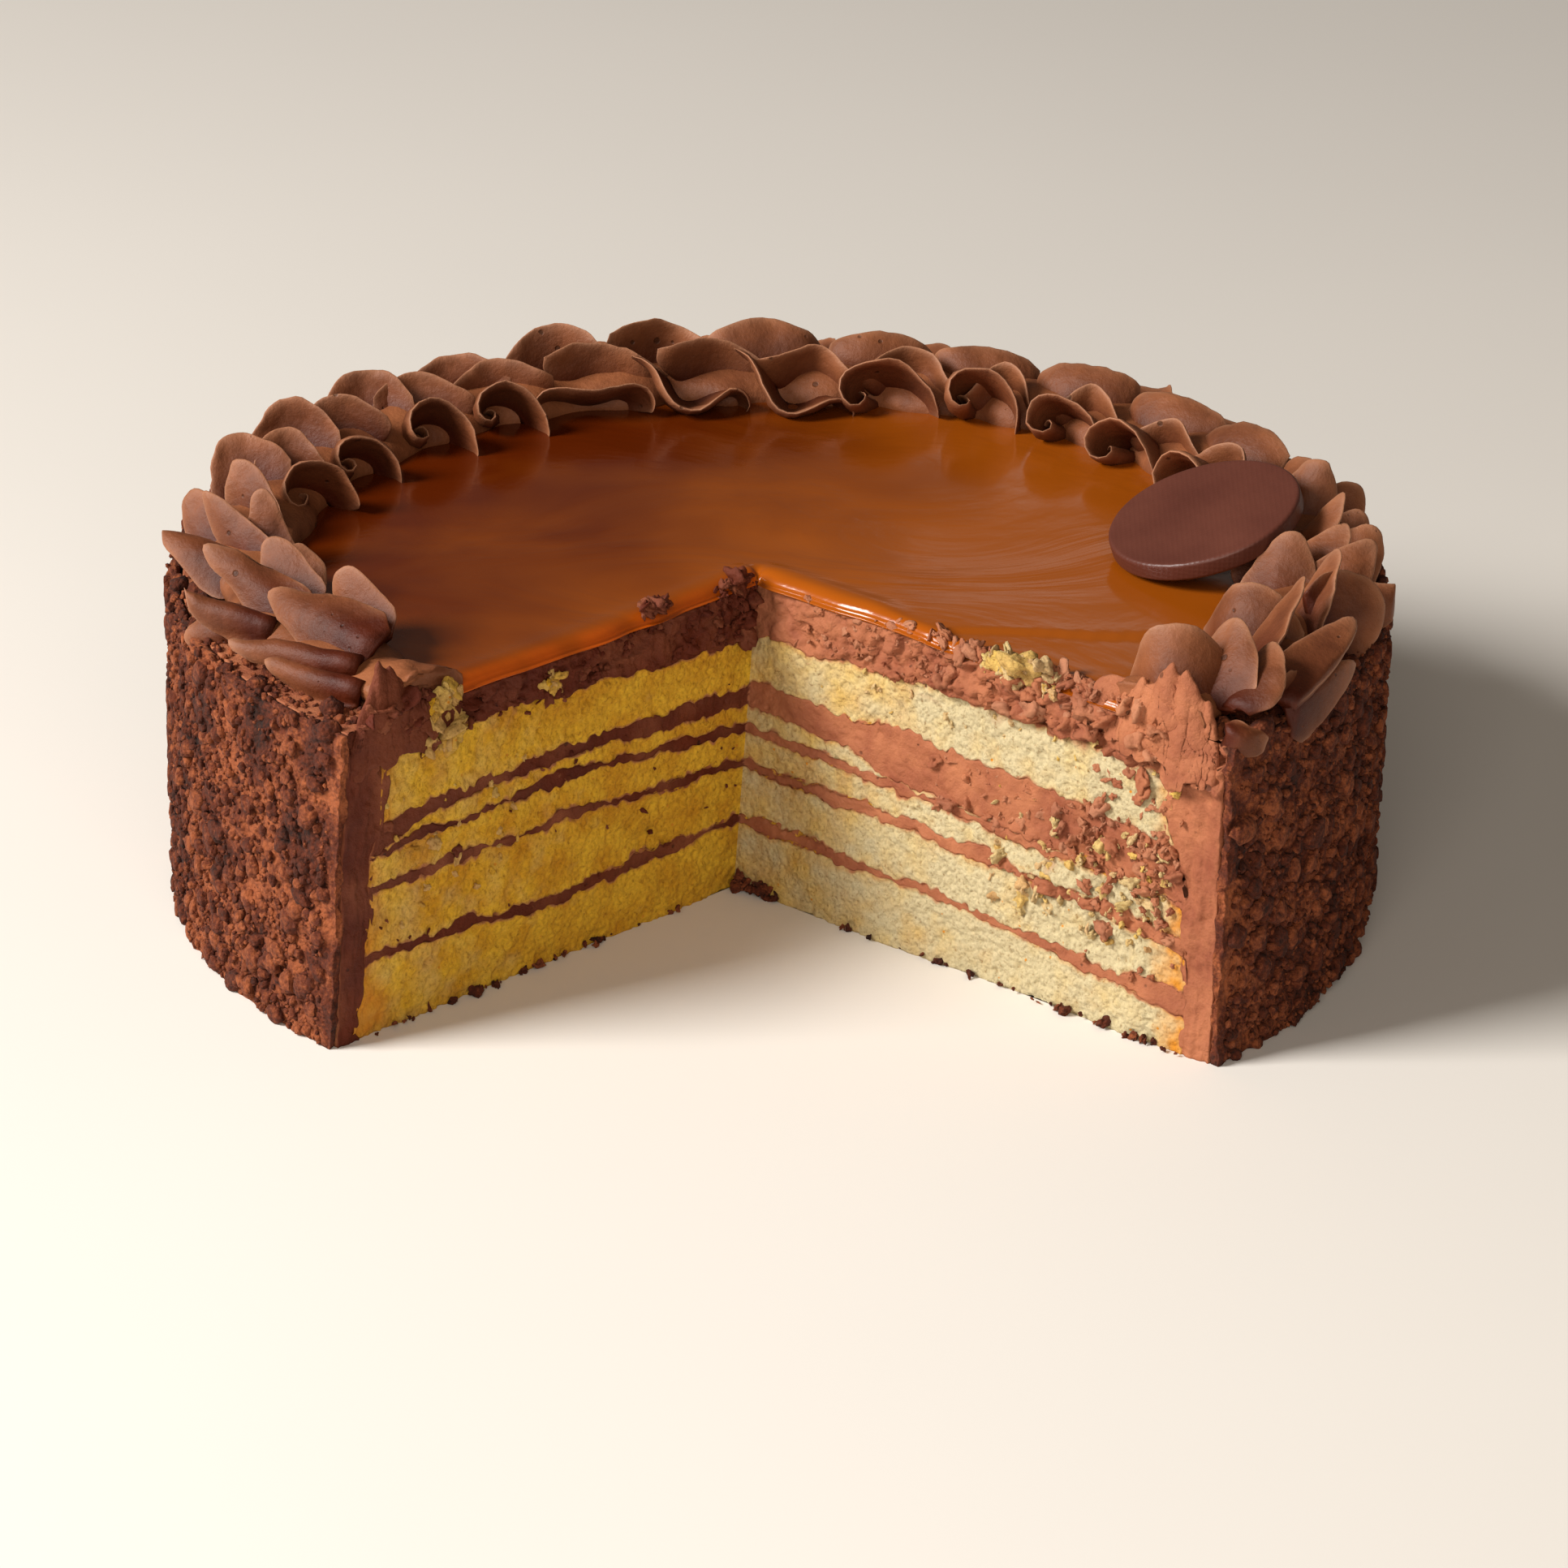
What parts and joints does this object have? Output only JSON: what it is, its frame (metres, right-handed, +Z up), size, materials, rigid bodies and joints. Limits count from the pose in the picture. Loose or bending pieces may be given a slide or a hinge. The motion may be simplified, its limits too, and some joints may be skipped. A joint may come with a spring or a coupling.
{
  "type": "dobos torte",
  "caption": "Round layered sponge cake with chocolate buttercream, caramel top, piped border, crumb side and one slice cut out.",
  "frame": {"origin": "centre of the whole round cake on its flat bottom, where it stands", "axes": "+Z up; the slice is missing towards -Y, so -Y is the front; +X to the right seen from the front"},
  "size_m": [0.2525, 0.2196, 0.0885],
  "materials": {
    "sponge": "baked egg sponge, open crumb, dry and matte",
    "chocolate_buttercream": "whipped chocolate buttercream, satin, with small air holes",
    "caramel_glaze": "soft set caramel, glossy and a little clear",
    "chocolate_crumbs": "dry chocolate cake crumbs, rough",
    "dark_chocolate": "tempered dark chocolate, satin"
  },
  "bodies": {
    "root": {"sponge_1": "sponge", "cream_1": "chocolate_buttercream", "sponge_2": "sponge", "cream_2": "chocolate_buttercream", "sponge_3": "sponge", "cream_3": "chocolate_buttercream", "sponge_4": "sponge", "cream_4": "chocolate_buttercream", "sponge_5": "sponge", "buttercream_coat": "chocolate_buttercream", "caramel_top": "caramel_glaze", "crumb_coat": "chocolate_crumbs", "piped_border": "chocolate_buttercream", "plaque": "dark_chocolate"}
  },
  "joints": []
}
